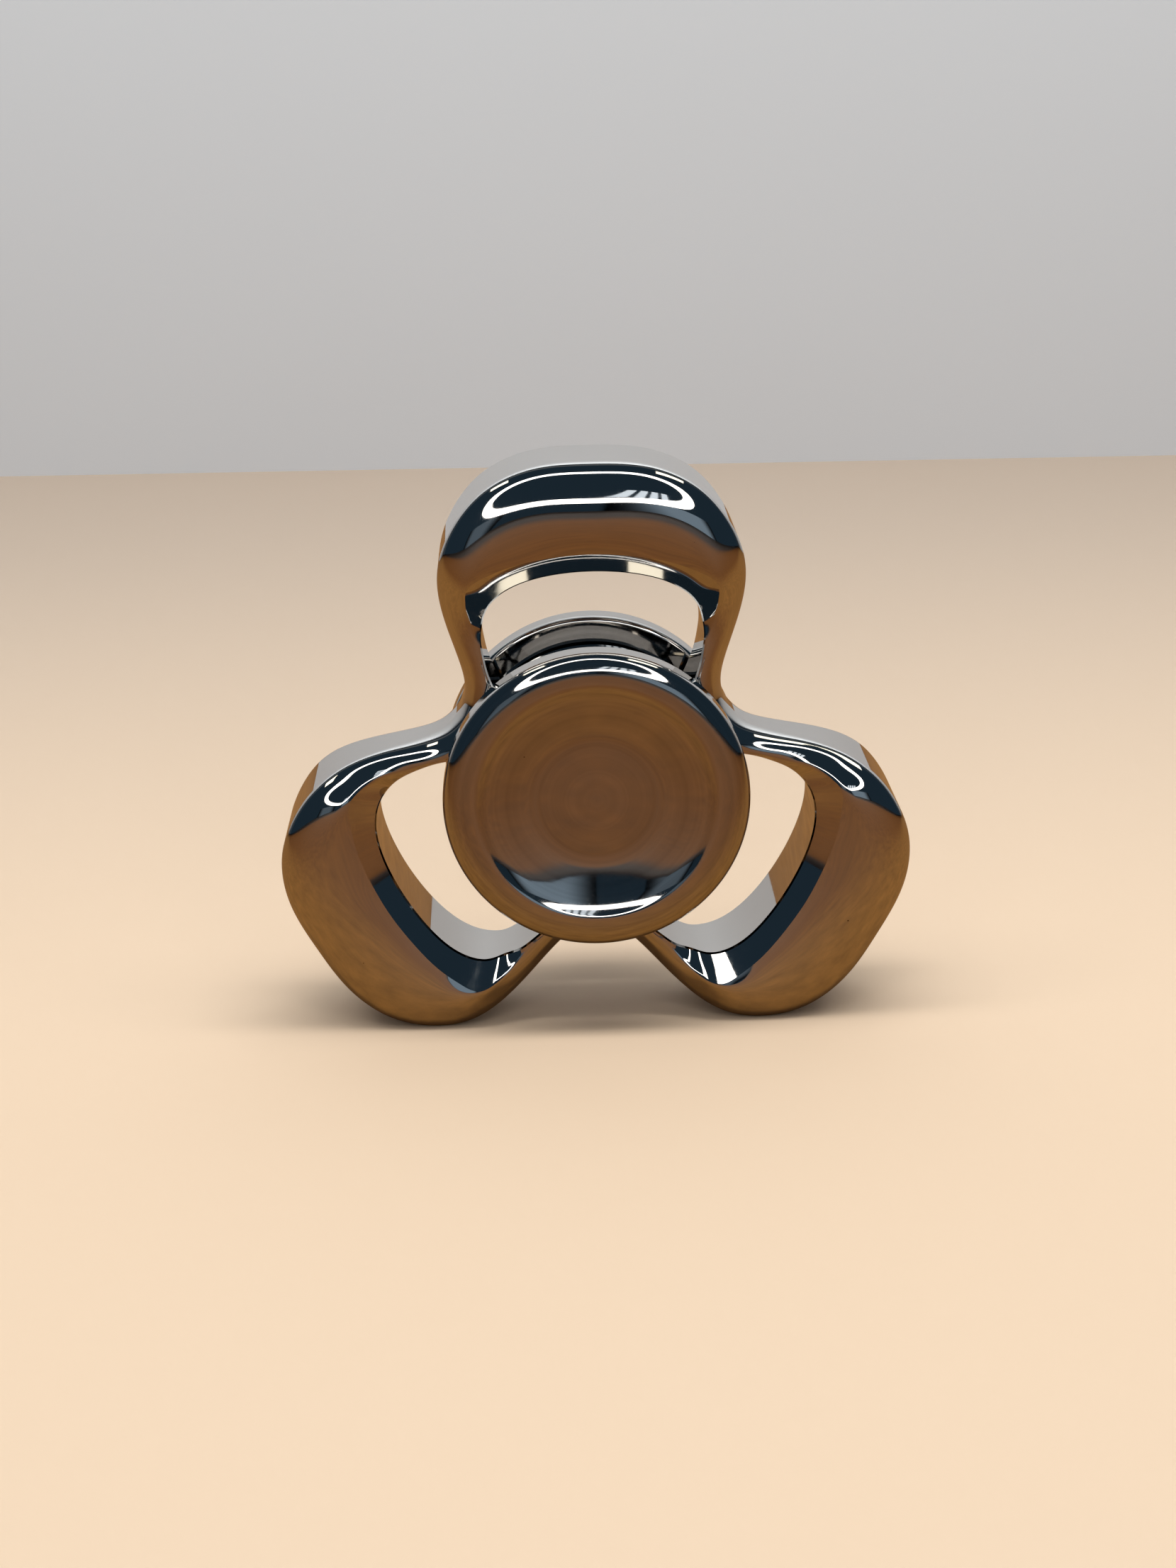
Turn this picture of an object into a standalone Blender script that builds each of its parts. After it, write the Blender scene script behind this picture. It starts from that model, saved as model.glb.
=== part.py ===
"""Three-lobed metal fidget spinner with an R188 ball bearing and two dished finger buttons.

The spinner stands upright on two of its lobes. X is across it, Z is up and Y is the spin axis, with the
front button facing -Y. Z = 0 is the surface that it stands on. Lengths below are millimetres.
"""

from math import atan2, cos, hypot, pi, radians, sin, sqrt, tan, tau

import bmesh
import bpy
from mathutils import Matrix, Vector

MM = 0.001
MERGE = 0.001

# Body: one lobe is drawn upright, u across it and v out from the spin axis, and repeated every 120 degrees.
LOBES = 3
NECK_ANGLE = radians(60)
TIP_RADIUS = 26.15
HUB_RADIUS = 10.0
HUB_HALF = 3.3
EDGE_BREAK = 0.2
EDGE_BREAK_WIDTH = 0.12
COLUMNS_PER_STATION = 2
FILLET_STEPS = 4
ROLL_STEPS = 2
HUB_ARC_STEPS = 6

# Stations from the tip of a lobe to the neck between two lobes:
# outline (u, v), window edge (u, v), rim half thickness, fillet width, crest half thickness,
# funnel width, half thickness where the funnel starts, half thickness at the window edge.
# Round the outer part of a window the funnel is a cone about the spin axis.
STATIONS = [
    ((0.0, TIP_RADIUS), (0.0, 17.65), 3.1, 4.1, 4.9, 1.60, 4.47, 3.40),
    ((4.3, 25.85), (2.9, 17.45), 3.2, 3.9, 4.9, 1.60, 4.49, 3.42),
    ((8.1, 24.20), (5.4, 16.85), 3.5, 3.4, 4.9, 1.75, 4.57, 3.42),
    ((10.5, 21.50), (7.15, 15.90), 3.7, 2.9, 4.85, 2.05, 4.58, 3.28),
    ((11.65, 18.80), (8.1, 14.80), 3.5, 2.5, 4.5, 2.30, 4.40, 2.98),
    ((11.85, 16.20), (8.5, 13.60), 2.8, 2.2, 3.60, 1.30, 3.39, 2.53),
    ((11.4, 13.60), (8.65, 12.30), 2.1, 2.1, 3.14, 0.50, 3.07, 2.78),
    ((10.7, 11.20), (8.5, 11.00), 1.66, 1.75, 3.08, 0.28, 3.06, 2.82),
    ((10.15, 9.10), (8.1, 9.30), 1.35, 1.75, 3.12, 0.25, 3.10, 2.90),
    ((10.1, 7.75), (7.15, 6.99), 1.15, 1.9, 3.28, 0.25, 3.28, 3.10),
]
# The last two stations end on the hub circle, at these angles from the lobe's centre line.
NECK_STATIONS = [
    ((10.3, 6.9), radians(53), 1.05, 1.9, 3.3, 0.20, 3.3, 3.3),
    ((10.62, 6.13), NECK_ANGLE, 1.0, 1.8, 3.3, 0.15, 3.3, 3.3),
]

# Ball bearing, size R188: 1/4 in bore, 1/2 in outside, 3/16 in wide, ten 1/16 in balls.
BEARING_BORE_RADIUS = 3.175
BEARING_OUTER_RADIUS = 6.35
BEARING_HALF_WIDTH = 2.381
BALL_COUNT = 10
BALL_RADIUS = 0.79375
PITCH_RADIUS = 4.7625
RACE_RADIUS = 0.83
INNER_LAND_RADIUS = 4.30
OUTER_LAND_RADIUS = 5.17
RING_CHAMFER = 0.15
CAGE_INNER_RADIUS = 4.42
CAGE_OUTER_RADIUS = 5.03
CAGE_HALF_WIDTH = 1.15
CAGE_POCKET_RADIUS = 0.85
CAGE_POCKET_SEGMENTS = 16
RACE_STEPS = 5
PRESS_GAP = 0.03

# Buttons: distances along the spin axis are measured outward from the middle of the spinner.
BUTTON_RADIUS = 12.0
BUTTON_BACK = 4.2
BUTTON_BACK_FILLET = 0.42
RIM_FRONT = 6.1
BUTTON_FACE = 7.1
FACE_OUTER_RADIUS = 10.2
# Slope of the dish in degrees at these radii, from its flat centre to its lip.
DISH_SLOPES = [
    (4.3, 0.0),
    (5.7, 9.3),
    (6.6, 10.5),
    (7.6, 11.6),
    (8.3, 13.2),
    (8.8, 17.0),
    (9.25, 22.0),
    (9.75, 0.0),
]
RIM_STEPS = 5
BACK_FILLET_STEPS = 2
SHOULDER_RADIUS = 4.2
SHOULDER_INNER = 2.98
PILOT_RADIUS = BEARING_BORE_RADIUS - PRESS_GAP
PILOT_END = 0.45
STUD_HOLE_RADIUS = 1.5
STUD_HOLE_END = 4.6

# Shim washers, the stud that joins the buttons, and the O-ring between the buttons' pilots.
SHIM_INNER_RADIUS = 3.2
SHIM_INNER = 2.41
SHIM_OUTER = 2.95
STUD_RADIUS = 1.46
STUD_HALF_LENGTH = 4.3
STUD_CHAMFER = 0.3
STUD_SOCKET_RADIUS = 0.75
STUD_SOCKET_DEPTH = 1.4
ORING_CENTRE_RADIUS = 1.95
ORING_SECTION_RADIUS = 0.4
ORING_SECTION_STEPS = 8

BUTTON_SEGMENTS = 48
RING_SEGMENTS = 36
SMALL_SEGMENTS = 24


def clear_scene():
    """Remove whatever the file opened with."""
    for old in list(bpy.data.objects):
        bpy.data.objects.remove(old)


def metal(name, colour, roughness):
    """A bare metal with the given colour."""
    made = bpy.data.materials.new(name)
    made.use_nodes = True
    shader = made.node_tree.nodes["Principled BSDF"]
    shader.inputs["Base Color"].default_value = (*colour, 1.0)
    shader.inputs["Metallic"].default_value = 1.0
    shader.inputs["Roughness"].default_value = roughness
    return made


def rubber(name, colour, roughness):
    """A soft black rubber."""
    made = metal(name, colour, roughness)
    made.node_tree.nodes["Principled BSDF"].inputs["Metallic"].default_value = 0.0
    return made


def finish(bm, name, material, sharp_angle=radians(35)):
    """Turn a bmesh drawn in millimetres about the spin axis into a named object at the hub's height."""
    bmesh.ops.recalc_face_normals(bm, faces=bm.faces)
    mesh = bpy.data.meshes.new(name)
    bm.to_mesh(mesh)
    bm.free()
    mesh.transform(Matrix.Scale(MM, 4))
    mesh.materials.append(material)
    mesh.shade_smooth()
    mesh.set_sharp_from_angle(angle=sharp_angle)
    made = bpy.data.objects.new(name, mesh)
    bpy.context.collection.objects.link(made)
    made.location = (0.0, 0.0, hub_height() * MM)
    return made


def turned(profile, segments):
    """Spin a closed (radius, y) profile about the Y axis. Points at radius 0 close on the axis."""
    bm = bmesh.new()
    points = [bm.verts.new((radius, y, 0.0)) for radius, y in profile]
    edges = [bm.edges.new(pair) for pair in zip(points, points[1:])]
    if profile[0][0] > 0:
        edges.append(bm.edges.new((points[-1], points[0])))
    bmesh.ops.spin(bm, geom=points + edges, axis=(0, 1, 0), cent=(0, 0, 0), angle=tau, steps=segments)
    bmesh.ops.remove_doubles(bm, verts=bm.verts, dist=MERGE)
    return bm


def arc(centre, radius, start, end, steps):
    """Points on an arc in the (radius, y) plane, both ends included."""
    angles = [start + (end - start) * step / steps for step in range(steps + 1)]
    return [(centre[0] + radius * cos(angle), centre[1] + radius * sin(angle)) for angle in angles]


# ---------------------------------------------------------------- body

def mirrored_point(point, angle):
    """Reflect (u, v) in the line through the hub at this angle from the lobe's centre line."""
    u, v = point
    return (-u * cos(2 * angle) + v * sin(2 * angle), u * sin(2 * angle) + v * cos(2 * angle))


def smooth(before, start, end, after, part):
    """Catmull-Rom value between start and end."""
    slope_in = (end - before) / 2
    slope_out = (after - start) / 2
    square = part * part
    cube = square * part
    return ((2 * cube - 3 * square + 1) * start + (cube - 2 * square + part) * slope_in
            + (3 * square - 2 * cube) * end + (cube - square) * slope_out)


def smooth_curve(points, first, last, steps):
    """Points along a smooth curve through the given ones, with the phantom neighbours of its two ends."""
    around = [first] + points + [last]
    curve = []
    for index in range(1, len(points)):
        for step in range(steps):
            part = step / steps
            curve.append([smooth(*values, part) for values in zip(*around[index - 1:index + 3])])
    curve.append(list(points[-1]))
    return curve


def lobe_columns():
    """Cross-sections of half a lobe, tip to neck: outline point, inner point and the six profile sizes."""
    steps = COLUMNS_PER_STATION
    outline = [station[0] for station in STATIONS + NECK_STATIONS]
    across_neck = mirrored_point(outline[-2], NECK_ANGLE)
    outline = smooth_curve(outline, mirrored_point(outline[1], 0), across_neck, steps)
    window = [station[1] for station in STATIONS]
    window = smooth_curve(window, mirrored_point(window[1], 0), window[-1], steps)
    corner = atan2(*STATIONS[-1][1])
    angles = [corner] + [station[1] for station in NECK_STATIONS]
    for start, end in zip(angles, angles[1:]):
        for step in range(1, steps + 1):
            angle = start + (end - start) * step / steps
            window.append([HUB_RADIUS * sin(angle), HUB_RADIUS * cos(angle)])
    sizes = [station[2:] for station in STATIONS + NECK_STATIONS]
    sizes = smooth_curve(sizes, sizes[1], sizes[-2], steps)
    return list(zip(outline, window, sizes))


def section(column):
    """The front surface of one cross-section, rim edge to window edge, as (u, y, v) points."""
    outline, inner, (rim, fillet, crest, funnel, lip, edge) = column
    length = hypot(inner[0] - outline[0], inner[1] - outline[1])
    rows = []
    for step in range(FILLET_STEPS + 1):
        angle = pi / 2 * step / FILLET_STEPS
        rows.append((fillet * (1 - cos(angle)), rim + (crest - rim) * sin(angle)))
    for step in range(1, ROLL_STEPS + 1):
        part = step / ROLL_STEPS
        rows.append((fillet + (length - funnel - fillet) * part, crest - (crest - lip) * part * part))
    rows.append((length - min(EDGE_BREAK_WIDTH, funnel / 2), min(edge + EDGE_BREAK, lip)))
    rows.append((length, edge))
    points = []
    for distance, half in rows:
        part = distance / length
        u = outline[0] + (inner[0] - outline[0]) * part
        v = outline[1] + (inner[1] - outline[1]) * part
        points.append((u, -half, v))
    return points


def grid(bm, columns):
    """Join equally long columns of points with quads."""
    made = [[bm.verts.new(point) for point in column] for column in columns]
    for left, right in zip(made, made[1:]):
        for row in range(len(left) - 1):
            bm.faces.new((left[row], left[row + 1], right[row + 1], right[row]))


def hub_column(point, bore_radius):
    """A radial line of the hub's front face, from a point on the hub circle in to the bearing's seat."""
    radius = hypot(point[0], point[2])
    inner = [HUB_RADIUS - EDGE_BREAK, bore_radius]
    return [point] + [(point[0] * r / radius, -HUB_HALF, point[2] * r / radius) for r in inner]


def front_sheet(bm):
    """The body's whole front surface: one half lobe with its share of the hub, mirrored and turned."""
    sections = [section(column) for column in lobe_columns()]
    grid(bm, sections)
    corner_index = (len(STATIONS) - 1) * COLUMNS_PER_STATION
    corner = atan2(*STATIONS[-1][1])
    seat = BEARING_OUTER_RADIUS + PRESS_GAP
    edge = -(HUB_HALF - EDGE_BREAK)
    spokes = []
    for step in range(HUB_ARC_STEPS):
        angle = corner * step / HUB_ARC_STEPS
        spokes.append((HUB_RADIUS * sin(angle), edge, HUB_RADIUS * cos(angle)))
    spokes += [rows[-1] for rows in sections[corner_index:]]
    grid(bm, [hub_column(point, seat) for point in spokes])
    bmesh.ops.mirror(bm, geom=bm.verts[:] + bm.edges[:] + bm.faces[:], axis="X", merge_dist=-1)
    bmesh.ops.remove_doubles(bm, verts=bm.verts, dist=MERGE)
    whole = bm.verts[:] + bm.edges[:] + bm.faces[:]
    for lobe in range(1, LOBES):
        copy = bmesh.ops.duplicate(bm, geom=whole)["geom"]
        verts = [item for item in copy if isinstance(item, bmesh.types.BMVert)]
        bmesh.ops.rotate(bm, verts=verts, cent=(0, 0, 0), matrix=Matrix.Rotation(tau * lobe / LOBES, 3, "Y"))
    bmesh.ops.remove_doubles(bm, verts=bm.verts, dist=MERGE)


def make_body():
    """Mirror-polished body: the front surface, walls straight through from its edges, and the back."""
    bm = bmesh.new()
    front_sheet(bm)
    front = bm.verts[:] + bm.edges[:] + bm.faces[:]
    rims = [edge for edge in bm.edges if edge.is_boundary]
    back = bmesh.ops.duplicate(bm, geom=front)["geom"]
    walls = bmesh.ops.extrude_edge_only(bm, edges=rims)["geom"]
    for vert in {item for item in back + walls if isinstance(item, bmesh.types.BMVert)}:
        vert.co.y = -vert.co.y
    bmesh.ops.remove_doubles(bm, verts=bm.verts, dist=MERGE)
    return finish(bm, "body", metal("polished_steel", (0.60, 0.58, 0.555), 0.04), radians(28))


def hub_height():
    """How far the spin axis is above the surface that two lobes stand on."""
    lowest = 0.0
    for (u, v), _, _ in lobe_columns():
        for side in (u, -u):
            lowest = max(lowest, v * cos(NECK_ANGLE) + side * sin(NECK_ANGLE))
    return lowest


# ---------------------------------------------------------------- bearing

def race(land_radius):
    """The ball groove across a ring's land: back to front on the inner ring, front to back on the outer."""
    reach = abs(PITCH_RADIUS - land_radius)
    half = sqrt(RACE_RADIUS ** 2 - reach ** 2)
    spread = atan2(half, reach)
    middle = pi if land_radius < PITCH_RADIUS else 0.0
    return arc((PITCH_RADIUS, 0.0), RACE_RADIUS, middle - spread, middle + spread, RACE_STEPS)


def make_bearing_inner_ring(steel):
    half = BEARING_HALF_WIDTH
    profile = [
        (BEARING_BORE_RADIUS, half - RING_CHAMFER),
        (BEARING_BORE_RADIUS + RING_CHAMFER, half),
        (INNER_LAND_RADIUS, half),
        *race(INNER_LAND_RADIUS),
        (INNER_LAND_RADIUS, -half),
        (BEARING_BORE_RADIUS + RING_CHAMFER, -half),
        (BEARING_BORE_RADIUS, -half + RING_CHAMFER),
    ]
    return finish(turned(profile, RING_SEGMENTS), "bearing_inner_ring", steel)


def make_bearing_outer_ring(steel):
    half = BEARING_HALF_WIDTH
    profile = [
        (BEARING_OUTER_RADIUS, half - RING_CHAMFER),
        (BEARING_OUTER_RADIUS, -half + RING_CHAMFER),
        (BEARING_OUTER_RADIUS - RING_CHAMFER, -half),
        (OUTER_LAND_RADIUS, -half),
        *race(OUTER_LAND_RADIUS),
        (OUTER_LAND_RADIUS, half),
        (BEARING_OUTER_RADIUS - RING_CHAMFER, half),
    ]
    return finish(turned(profile, RING_SEGMENTS), "bearing_outer_ring", steel)


def ball_centre(index):
    """Centre of one ball relative to the middle of the bearing; the first one is at the top."""
    angle = tau * index / BALL_COUNT
    return Vector((PITCH_RADIUS * sin(angle), 0.0, PITCH_RADIUS * cos(angle)))


def make_bearing_balls(steel):
    for index in range(BALL_COUNT):
        bm = bmesh.new()
        bmesh.ops.create_icosphere(bm, subdivisions=2, radius=BALL_RADIUS)
        ball = finish(bm, f"bearing_ball_{index + 1:02d}", steel, pi)
        ball.location += ball_centre(index) * MM


def make_bearing_cage(brass):
    """Ribbon of a cage with a round radial pocket for each ball."""
    profile = [
        (CAGE_INNER_RADIUS, -CAGE_HALF_WIDTH),
        (CAGE_OUTER_RADIUS, -CAGE_HALF_WIDTH),
        (CAGE_OUTER_RADIUS, CAGE_HALF_WIDTH),
        (CAGE_INNER_RADIUS, CAGE_HALF_WIDTH),
    ]
    cage = finish(turned(profile, BALL_COUNT * 4), "bearing_cage", brass)
    drill = bmesh.new()
    half_step = Matrix.Rotation(pi / CAGE_POCKET_SEGMENTS, 4, "Z")
    for index in range(BALL_COUNT):
        turn = Matrix.Rotation(tau * index / BALL_COUNT, 4, "Y")
        bmesh.ops.create_cone(
            drill, cap_ends=True, segments=CAGE_POCKET_SEGMENTS, radius1=CAGE_POCKET_RADIUS,
            radius2=CAGE_POCKET_RADIUS, depth=2 * (CAGE_OUTER_RADIUS - CAGE_INNER_RADIUS),
            matrix=turn @ Matrix.Translation((0.0, 0.0, PITCH_RADIUS)) @ half_step)
    cutter = finish(drill, "cage_pocket_cutter", brass)
    cutter.hide_render = True
    cutter.display_type = "WIRE"
    cut = cage.modifiers.new("pockets", "BOOLEAN")
    cut.operation = "DIFFERENCE"
    cut.solver = "EXACT"
    cut.object = cutter
    return cage


# ---------------------------------------------------------------- buttons and what joins them

def dish():
    """Radius and height above the flat centre, from the foot of the dish's wall to its lip."""
    points = [(DISH_SLOPES[0][0], 0.0)]
    for (start, low), (end, high) in zip(DISH_SLOPES, DISH_SLOPES[1:]):
        points.append((end, points[-1][1] + (end - start) * tan(radians((low + high) / 2))))
    return points


def button_face():
    """The dished face, from the axis out to the flat ring that a finger rests on."""
    wall = dish()
    floor = BUTTON_FACE - wall[-1][1]
    return [(0.0, floor)] + [(radius, floor + height) for radius, height in wall]


def make_button(name, side, steel):
    """A button with its pilot in the bearing's bore; side is -1 at the front and 1 at the back."""
    profile = button_face()
    for step in range(RIM_STEPS + 1):
        angle = pi / 2 * step / RIM_STEPS
        profile.append((FACE_OUTER_RADIUS + (BUTTON_RADIUS - FACE_OUTER_RADIUS) * sin(angle),
                        RIM_FRONT + (BUTTON_FACE - RIM_FRONT) * cos(angle)))
    profile += arc((BUTTON_RADIUS - BUTTON_BACK_FILLET, BUTTON_BACK + BUTTON_BACK_FILLET),
                   BUTTON_BACK_FILLET, 0, -pi / 2, BACK_FILLET_STEPS)
    profile += [
        (SHOULDER_RADIUS, BUTTON_BACK),
        (SHOULDER_RADIUS, SHOULDER_INNER),
        (PILOT_RADIUS, SHOULDER_INNER),
        (PILOT_RADIUS, PILOT_END),
        (STUD_HOLE_RADIUS, PILOT_END),
        (STUD_HOLE_RADIUS, STUD_HOLE_END),
        (0.0, STUD_HOLE_END),
    ]
    profile = [(radius, side * y) for radius, y in profile]
    return finish(turned(profile, BUTTON_SEGMENTS), name, steel, radians(28))


def make_shim(name, side, steel):
    profile = [
        (SHIM_INNER_RADIUS, side * SHIM_INNER),
        (SHOULDER_RADIUS, side * SHIM_INNER),
        (SHOULDER_RADIUS, side * SHIM_OUTER),
        (SHIM_INNER_RADIUS, side * SHIM_OUTER),
    ]
    return finish(turned(profile, SMALL_SEGMENTS), name, steel)


def make_button_stud(steel):
    """Headless set screw that both buttons turn onto, with a socket in its front end."""
    half = STUD_HALF_LENGTH
    profile = [
        (0.0, half),
        (STUD_RADIUS - STUD_CHAMFER, half),
        (STUD_RADIUS, half - STUD_CHAMFER),
        (STUD_RADIUS, -half + STUD_CHAMFER),
        (STUD_RADIUS - STUD_CHAMFER, -half),
        (STUD_SOCKET_RADIUS, -half),
        (STUD_SOCKET_RADIUS, -half + STUD_SOCKET_DEPTH),
        (0.0, -half + STUD_SOCKET_DEPTH),
    ]
    return finish(turned(profile, SMALL_SEGMENTS), "button_stud", steel)


def make_stud_oring(black):
    last = tau * (1 - 1 / ORING_SECTION_STEPS)
    profile = arc((ORING_CENTRE_RADIUS, 0.0), ORING_SECTION_RADIUS, 0, last, ORING_SECTION_STEPS - 1)
    return finish(turned(profile, SMALL_SEGMENTS), "stud_oring", black, pi)


def build():
    clear_scene()
    steel = metal("bearing_steel", (0.62, 0.62, 0.63), 0.12)
    polished = metal("button_steel", (0.60, 0.58, 0.555), 0.04)
    make_body()
    make_bearing_outer_ring(steel)
    make_bearing_inner_ring(steel)
    make_bearing_cage(metal("cage_brass", (0.75, 0.58, 0.28), 0.3))
    make_bearing_balls(steel)
    make_button("front_button", -1, polished)
    make_button("rear_button", 1, polished)
    make_shim("front_shim", -1, steel)
    make_shim("rear_shim", 1, steel)
    make_button_stud(metal("stud_steel", (0.35, 0.35, 0.36), 0.35))
    make_stud_oring(rubber("oring_rubber", (0.03, 0.03, 0.03), 0.6))


build()
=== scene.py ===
"""Looks of a mirror-polished, three-lobed fidget spinner with an R188 bearing and two dished buttons.

Lengths are millimetres, except on the stage. The spin axis is Y, the front faces -Y and Z is up.
Pieces are drawn about the hub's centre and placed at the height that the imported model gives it.
"""

from math import atan2, cos, hypot, pi, radians, sin, sqrt, tan, tau

import bmesh
import bpy
import numpy as np
from mathutils import Matrix, Vector


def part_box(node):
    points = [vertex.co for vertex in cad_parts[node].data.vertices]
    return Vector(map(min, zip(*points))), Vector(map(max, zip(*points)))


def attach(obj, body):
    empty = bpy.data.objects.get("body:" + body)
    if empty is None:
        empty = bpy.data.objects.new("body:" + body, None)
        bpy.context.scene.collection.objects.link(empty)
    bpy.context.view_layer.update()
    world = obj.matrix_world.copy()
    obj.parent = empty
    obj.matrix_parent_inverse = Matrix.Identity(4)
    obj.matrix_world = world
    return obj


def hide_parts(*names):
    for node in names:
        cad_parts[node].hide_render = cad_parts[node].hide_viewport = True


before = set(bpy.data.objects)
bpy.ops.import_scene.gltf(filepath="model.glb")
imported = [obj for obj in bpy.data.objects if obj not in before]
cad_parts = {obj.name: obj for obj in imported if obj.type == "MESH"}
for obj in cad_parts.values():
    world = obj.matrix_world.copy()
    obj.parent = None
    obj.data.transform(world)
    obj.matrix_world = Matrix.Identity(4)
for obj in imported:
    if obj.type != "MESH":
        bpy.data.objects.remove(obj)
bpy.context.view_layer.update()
HUB_Z = sum(corner.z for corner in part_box("front_button")) / 2

MM = 0.001
# Points closer than this become one.
MERGE = 0.0005

# ---------------------------------------------------------------- sizes

LOBES = 3
NECK_ANGLE = radians(60)
TIP_RADIUS = 26.15
HUB_RADIUS = 10.0
HUB_HALF = 3.3
EDGE_BREAK = 0.2
EDGE_BREAK_WIDTH = 0.12
SUPPORT = 0.02
STEPS_PER_STATION = 10
FILLET_STEPS = 16
ROLL_STEPS = 12
FUNNEL_STEPS = 3
HUB_ARC_STEPS = 60
MIRRORED_STATIONS = 4
SHARP_ANGLE = radians(30)

# Stations from the tip of a lobe to the neck between two lobes:
# outline (u, v), window edge (u, v), rim half thickness, fillet width, crest half thickness,
# funnel width, half thickness where the funnel starts, half thickness at the window edge.
# The funnel is a cone about the spin axis, so its thickness follows from the radius there.
STATIONS = [
    ((0.0, TIP_RADIUS), (0.0, 17.65), 3.1, 4.1, 4.9, 1.60, 4.47, 3.40),
    ((4.3, 25.85), (2.9, 17.45), 3.2, 3.9, 4.9, 1.60, 4.49, 3.42),
    ((8.1, 24.20), (5.4, 16.85), 3.5, 3.4, 4.9, 1.75, 4.57, 3.42),
    ((10.5, 21.50), (7.15, 15.90), 3.7, 2.9, 4.85, 2.05, 4.58, 3.28),
    ((11.65, 18.80), (8.1, 14.80), 3.5, 2.5, 4.5, 2.30, 4.40, 2.98),
    ((11.85, 16.20), (8.5, 13.60), 2.8, 2.2, 3.60, 1.30, 3.39, 2.53),
    ((11.4, 13.60), (8.65, 12.30), 2.1, 2.1, 3.14, 0.50, 3.07, 2.78),
    ((10.7, 11.20), (8.5, 11.00), 1.66, 1.75, 3.08, 0.28, 3.06, 2.82),
    ((10.15, 9.10), (8.1, 9.30), 1.35, 1.75, 3.12, 0.25, 3.10, 2.90),
    ((10.1, 7.75), (7.15, 6.99), 1.15, 1.9, 3.28, 0.25, 3.28, 3.10),
]
# The last two stations end on the hub circle, at these angles from the lobe's centre line.
NECK_STATIONS = [
    ((10.3, 6.9), radians(53), 1.05, 1.9, 3.3, 0.20, 3.3, 3.3),
    ((10.62, 6.13), NECK_ANGLE, 1.0, 1.8, 3.3, 0.15, 3.3, 3.3),
]

BEARING_BORE_RADIUS = 3.175
BEARING_OUTER_RADIUS = 6.35
BEARING_HALF_WIDTH = 2.381
BALL_COUNT = 10
BALL_RADIUS = 0.79375
PITCH_RADIUS = 4.7625
RACE_RADIUS = 0.83
INNER_LAND_RADIUS = 4.30
OUTER_LAND_RADIUS = 5.17
RING_CHAMFER = 0.15
PRESS_GAP = 0.03

BUTTON_RADIUS = 12.0
BUTTON_BACK = 4.2
BUTTON_BACK_FILLET = 0.42
RIM_FRONT = 6.1
BUTTON_FACE = 7.1
FACE_OUTER_RADIUS = 10.2
# Slope of the dish in degrees at these radii, from its flat centre to its lip.
DISH_SLOPES = [
    (4.3, 0.0),
    (5.7, 9.3),
    (6.6, 10.5),
    (7.6, 11.6),
    (8.3, 13.2),
    (8.8, 17.0),
    (9.25, 22.0),
    (9.75, 0.0),
]
DISH_STEPS = 10
FLAT_RADIUS = 1.0
SHOULDER_RADIUS = 4.2
SHOULDER_INNER = 2.98
PILOT_RADIUS = BEARING_BORE_RADIUS - PRESS_GAP
PILOT_END = 0.45
STUD_HOLE_RADIUS = 1.5
STUD_HOLE_END = 4.6

SHIM_INNER_RADIUS = 3.2
SHIM_INNER = 2.41
SHIM_OUTER = 2.95
STUD_RADIUS = 1.46
STUD_HALF_LENGTH = 4.3
STUD_CHAMFER = 0.3
STUD_SOCKET_RADIUS = 0.75
STUD_SOCKET_DEPTH = 1.4
ORING_CENTRE_RADIUS = 1.95
ORING_SECTION_RADIUS = 0.4

RIM_STEPS = 20
BACK_FILLET_STEPS = 8
RACE_STEPS = 14
ORING_STEPS = 24
BALL_SUBDIVISIONS = 4
BUTTON_SEGMENTS = 192
RING_SEGMENTS = 120

# ---------------------------------------------------------------- camera, seen from the hub

CAMERA_ELEVATION = radians(19.155)
CAMERA_AZIMUTH = radians(-1.545)
CAMERA_ROLL = radians(-1.097)
CAMERA_DISTANCE = 193.118
CAMERA_TARGET = (-0.499, 0.0, -0.738)
CAMERA_SENSOR = 36.0
CAMERA_LENS = 55.15981

# ---------------------------------------------------------------- stage, in metres and linear colours

STAGE_REACH = 3.0
FLOOR_FRONT = -0.49
WALL_PLACE = 0.219
WALL_SLANT = 0.032
WALL_HEIGHT = 1.5
WALL_COLOUR = (0.70, 0.745, 0.78)
WALL_ROUGHNESS = 0.9
FLOOR_ROUGHNESS = 0.8
FLOOR_NEAR = (0.60, 0.46, 0.33)
# Painted shade: the colour at the back of the floor that the camera sees, darker as if less light reached
# it.
FLOOR_FAR_PAINTED_SHADE = (0.42, 0.34, 0.27)
# Painted reflection: colours of the floor that only the metal mirrors, from near the spinner out to a
# painted shade in front.
FLOOR_PAINTED_REFLECTION_NEAR = (0.205, 0.091, 0.020)
FLOOR_PAINTED_REFLECTION = (0.126, 0.045, 0.007)
FLOOR_PAINTED_SHADE_IN_FRONT = (0.03, 0.02, 0.015)
# Where along Y the floor's colours begin and end to change, for the camera and for the metal: the painted
# shade at the back of the floor that the camera sees, and the painted reflection, darkened in front by
# painted shade, that the metal sees.
FLOOR_SEEN_SPAN = (-0.03, 0.2)
FLOOR_PAINTED_REFLECTION_SPAN = (-0.25, -0.01)
ROOM_FRONT = (0.015, 0.029, 0.044)
ROOM_BACK = (0.50, 0.51, 0.50)
ROOM_SEEN = (0.58, 0.59, 0.58)
# Where along Y, on a unit sphere of directions, the room goes from dim to pale.
ROOM_SPAN = (-0.05, 0.45)

# Soft lights that the metal doesn't mirror: name, place, target, size, watts.
AREA_LIGHTS = [
    ("overhead", (0.05, -0.05, 0.7), (0.0, 0.02, 0.0), (0.5, 0.35), 1.95),
    ("wall_wash", (0.0, -0.05, 0.55), (0.0, 0.223, 0.1), (0.9, 0.12), 3.5),
]

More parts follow.
